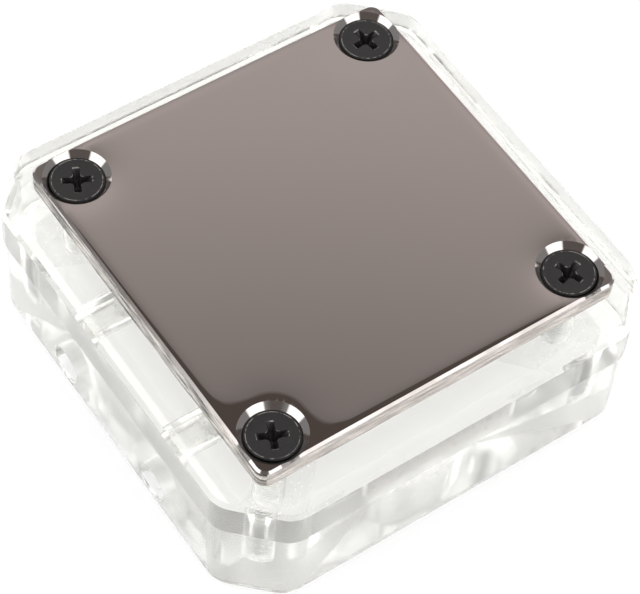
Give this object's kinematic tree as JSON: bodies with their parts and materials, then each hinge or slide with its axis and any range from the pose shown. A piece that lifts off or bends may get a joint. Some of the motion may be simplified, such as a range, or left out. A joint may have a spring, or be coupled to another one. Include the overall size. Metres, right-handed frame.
{
  "type": "cpu water block",
  "caption": "Square clear-bodied CPU water block with a mirror-finished cold plate, countersunk screws and threaded hose ports.",
  "frame": {"origin": "middle of the port face, the flat face that the block lies on with its cold plate up", "axes": "+Z from the port face to the cold plate's outer face; Y through the two ports, with the inlet at +Y; -X is the side with the lamp holes"},
  "size_m": [0.06, 0.06, 0.022],
  "materials": {
    "clear_acrylic": "clear polished acrylic, machined channels and bores",
    "silicone": "translucent white silicone rubber",
    "thin_steel": "thin stainless sheet",
    "nickel_plate": "nickel-plated copper, mirror-polished outer face, ground edges",
    "black_screw": "black-oxide steel"
  },
  "bodies": {
    "root": {"port_layer": "clear_acrylic", "mid_layer": "clear_acrylic", "layer_seal": "silicone", "jet_plate": "thin_steel", "plate_gasket": "silicone", "cold_plate": "nickel_plate", "plate_screws": "black_screw"}
  },
  "joints": []
}
